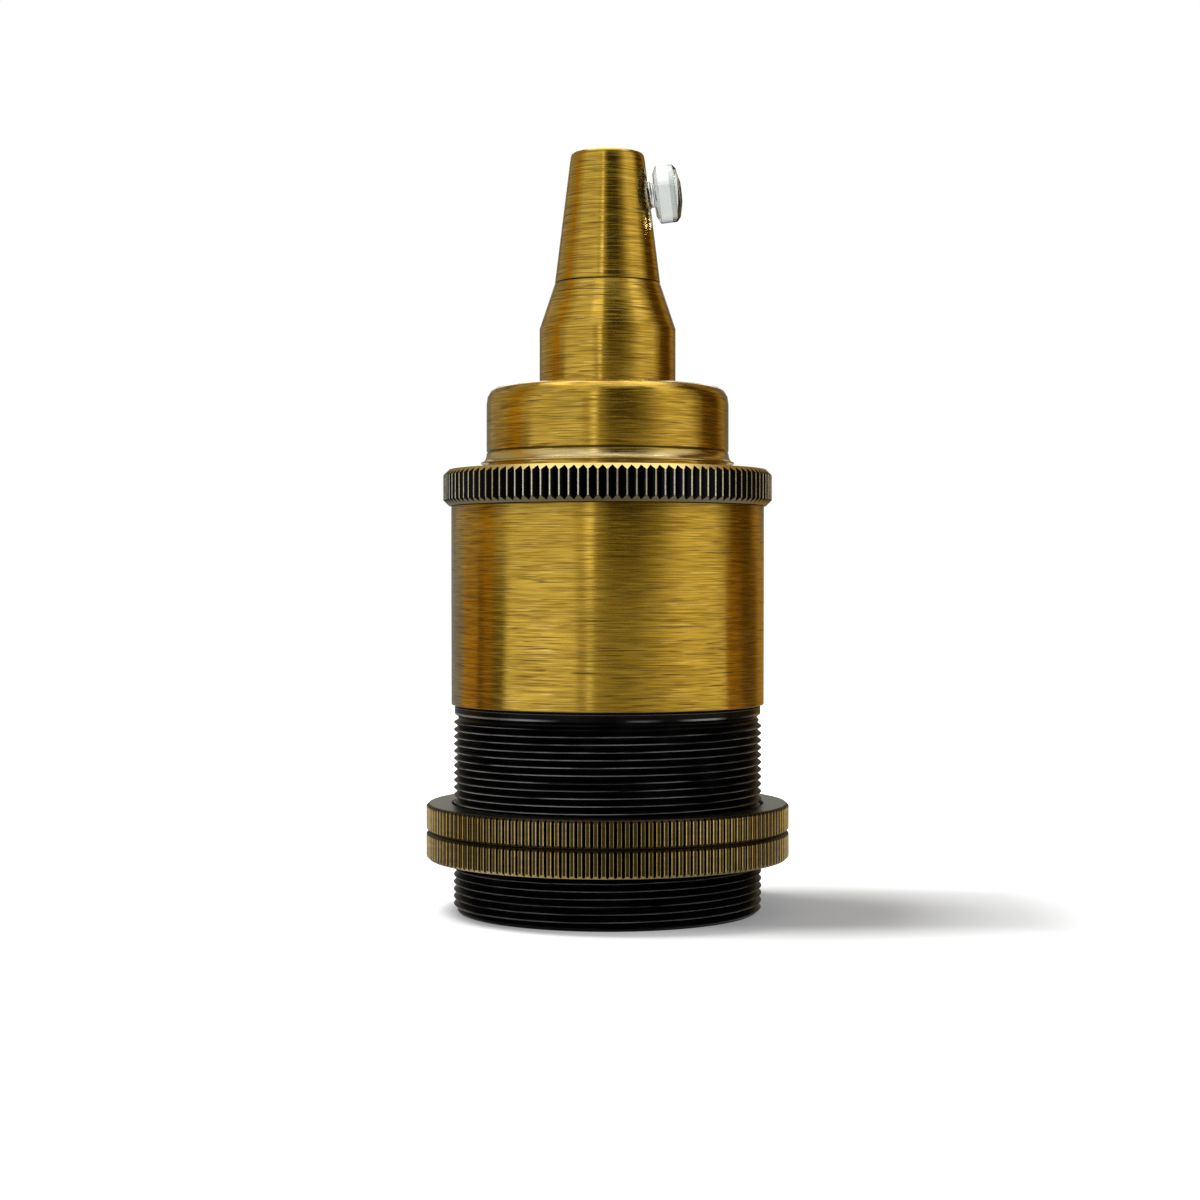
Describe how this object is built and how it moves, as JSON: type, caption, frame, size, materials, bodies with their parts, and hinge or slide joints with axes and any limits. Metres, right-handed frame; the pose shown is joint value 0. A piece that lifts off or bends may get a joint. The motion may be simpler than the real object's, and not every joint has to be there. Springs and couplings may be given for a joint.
{
  "type": "lamp holder",
  "caption": "Round brass screw lamp holder with threaded skirt, knurled shade rings, union ring, domed cap and conical cord grip with a clear clamp screw.",
  "frame": {"origin": "on the axis in the plane of the rim, at the end that takes the lamp", "axes": "+Z along the axis from the lamp's opening to the cord's mouth; +X towards the clamp screw"},
  "size_m": [0.047, 0.047, 0.0983],
  "materials": {
    "antique_brass": "antique, brushed round the axis, over a black thread",
    "dark_brass": "blackened, with the ridges of the knurl brushed bright",
    "clear_plastic": "clear moulded",
    "porcelain": "glazed",
    "contact_brass": "bare",
    "plated_steel": "zinc plated"
  },
  "bodies": {
    "shell": {"outer_shell": "antique_brass"},
    "shade_ring_upper": {"shade_ring_upper": "dark_brass"},
    "shade_ring_lower": {"shade_ring_lower": "dark_brass"},
    "head": {"cap": "antique_brass", "grip_base": "antique_brass", "grip_cone": "antique_brass", "threaded_nipple": "plated_steel", "lock_washer": "plated_steel", "cap_locknut": "plated_steel", "bracket_locknut": "plated_steel", "mounting_bracket": "plated_steel", "earth_washer": "plated_steel", "ceramic_body": "porcelain", "bracket_screw_left": "plated_steel", "bracket_screw_right": "plated_steel", "bracket_nut_left": "plated_steel", "bracket_nut_right": "plated_steel", "screw_shell": "contact_brass", "shell_screw": "plated_steel", "neutral_terminal": "contact_brass", "centre_contact": "contact_brass", "contact_screw": "plated_steel", "live_terminal": "contact_brass"},
    "union_ring": {"union_ring": "dark_brass"},
    "clamp_screw": {"clamp_screw": "clear_plastic"},
    "live_terminal_screw": {"live_terminal_screw": "plated_steel"},
    "neutral_terminal_screw": {"neutral_terminal_screw": "plated_steel"},
    "earth_screw": {"earth_screw": "plated_steel"},
    "contact_button": {"contact_button": "contact_brass"}
  },
  "joints": [
    {"name": "cap_lift", "type": "slide", "parent": "shell", "child": "head", "axis": [0, 0, 1], "range_m": [0, 0.00282]},
    {"name": "union_ring_turn", "type": "hinge", "parent": "head", "child": "union_ring", "pos_m": [0, 0, 0.0547], "axis": [0, 0, 1], "range_deg": [0, 1080]},
    {"name": "shade_ring_upper_travel", "type": "slide", "parent": "shell", "child": "shade_ring_upper", "axis": [0, 0, 1], "range_m": [0, 0.0126]},
    {"name": "shade_ring_lower_travel", "type": "slide", "parent": "shell", "child": "shade_ring_lower", "axis": [0, 0, 1], "range_m": [-0.0065, 0]},
    {"name": "clamp_screw_travel", "type": "slide", "parent": "head", "child": "clamp_screw", "axis": [0.9924, 0, 0.1235], "range_m": [-0.0006, 0.0028]},
    {"name": "live_terminal_screw_travel", "type": "slide", "parent": "head", "child": "live_terminal_screw", "axis": [0, 0, 1], "range_m": [-0.0004, 0.0015]},
    {"name": "neutral_terminal_screw_travel", "type": "slide", "parent": "head", "child": "neutral_terminal_screw", "axis": [0, 0, 1], "range_m": [-0.0004, 0.0015]},
    {"name": "earth_screw_travel", "type": "slide", "parent": "head", "child": "earth_screw", "axis": [-1, 0, 0], "range_m": [0, 0.0015]},
    {"name": "contact_button_press", "type": "slide", "parent": "head", "child": "contact_button", "axis": [0, 0, 1], "range_m": [0, 0.0012], "stiffness_N_per_m": 1500, "deforming": ["centre_contact"]}
  ],
  "couplings": [
    {"joint": "union_ring_turn", "follows": "cap_lift", "rad_per_m": 6684.2}
  ]
}
